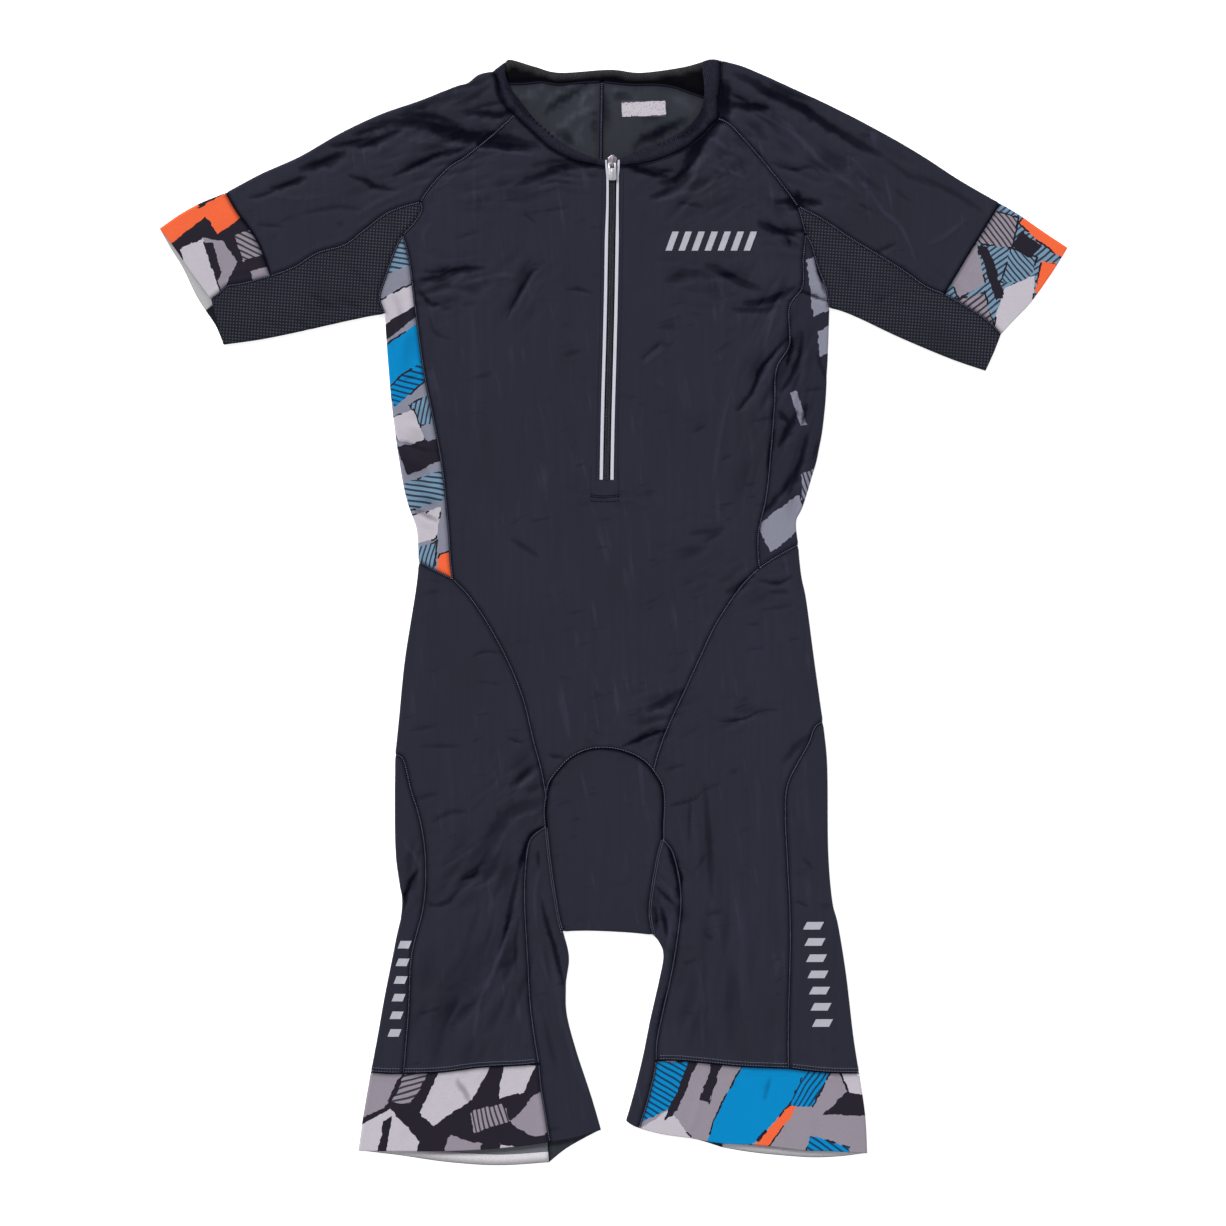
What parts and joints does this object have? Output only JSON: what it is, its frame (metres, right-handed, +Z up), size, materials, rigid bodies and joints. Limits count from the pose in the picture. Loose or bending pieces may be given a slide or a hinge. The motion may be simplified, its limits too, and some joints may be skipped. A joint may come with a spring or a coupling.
{
  "type": "triathlon suit",
  "caption": "One-piece short-sleeved sports suit with a front zip, mesh underarms and printed cuffs and leg bands, lying flat with its front up.",
  "frame": {"origin": "on the surface that the suit lies on, below the middle of its bounding box", "axes": "+Y from the legs to the neck, +Z up out of the suit's front, +X to the wearer's left"},
  "size_m": [0.907, 1.104, 0.0106],
  "materials": {
    "stretch_cloth": "smooth dark navy-black stretch knit, slight sheen",
    "mesh_cloth": "dark knitted mesh",
    "printed_cloth": "stretch knit with a printed geometric pattern of grey, blue, orange and black",
    "rib_band": "black ribbed knit",
    "reflective_tape": "zip tape with a pale reflective edge",
    "coil": "dark polyester coil",
    "slider_metal": "silver cast metal"
  },
  "bodies": {
    "garment": {"front_body": "stretch_cloth", "back_right": "stretch_cloth", "back_left": "stretch_cloth", "sleeve_right": "stretch_cloth", "sleeve_left": "stretch_cloth", "leg_right": "stretch_cloth", "leg_left": "stretch_cloth", "outer_thigh_right": "stretch_cloth", "outer_thigh_left": "stretch_cloth", "inner_thigh_right": "stretch_cloth", "inner_thigh_left": "stretch_cloth", "crotch_panel": "stretch_cloth", "underarm_right": "mesh_cloth", "underarm_left": "mesh_cloth", "cuff_right": "printed_cloth", "cuff_left": "printed_cloth", "hem_band_right": "printed_cloth", "hem_band_left": "printed_cloth", "side_panel_right": "printed_cloth", "side_panel_left": "printed_cloth", "neck_band": "rib_band", "zip_tape_right": "reflective_tape", "zip_tape_left": "reflective_tape", "zip_coil": "coil", "zip_slider": "slider_metal"},
    "zip_pull": {"zip_pull": "slider_metal"}
  },
  "joints": [
    {"name": "zip_pull_hinge", "type": "hinge", "parent": "garment", "child": "zip_pull", "pos_m": [-0.00119, 0.44801, 0.00875], "axis": [-1, 0, 0], "range_deg": [0, 135]}
  ]
}
